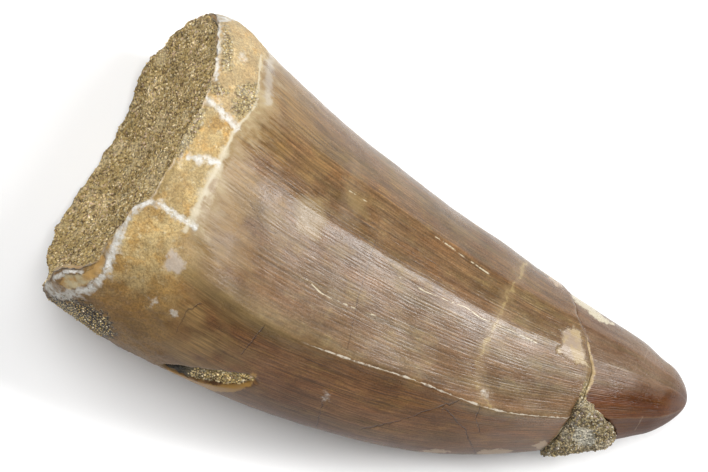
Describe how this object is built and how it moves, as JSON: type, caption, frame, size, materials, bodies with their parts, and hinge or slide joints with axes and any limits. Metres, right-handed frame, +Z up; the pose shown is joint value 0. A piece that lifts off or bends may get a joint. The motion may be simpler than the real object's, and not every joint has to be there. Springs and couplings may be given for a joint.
{
  "type": "fossil mosasaur tooth",
  "caption": "Curved fossil marine reptile tooth lying on its side, with a sand-filled hollow base, a bare dentine collar and a mended tip",
  "frame": {"origin": "on the surface that the tooth rests on, under the middle of its length and width", "axes": "+X along the tooth from the broken base to the tip, +Y towards the concave edge, +Z up as the tooth lies on its side"},
  "size_m": [0.0702, 0.0368, 0.0274],
  "materials": {
    "enamel": "smooth fossil enamel, brown, with a soft sheen; golden bare dentine at the base",
    "dark_enamel": "smooth fossil enamel, reddish brown, with a soft sheen",
    "sandy_matrix": "rough cemented sand of brown, golden and cream grains",
    "grey_filling": "rough cemented sand, grey-olive with cream grains",
    "pocket_sand": "rough cemented sand of cream and golden grains"
  },
  "bodies": {
    "root": {"crown": "enamel", "tip": "dark_enamel", "base_matrix": "sandy_matrix", "break_matrix": "grey_filling", "pocket_matrix": "pocket_sand"}
  },
  "joints": []
}
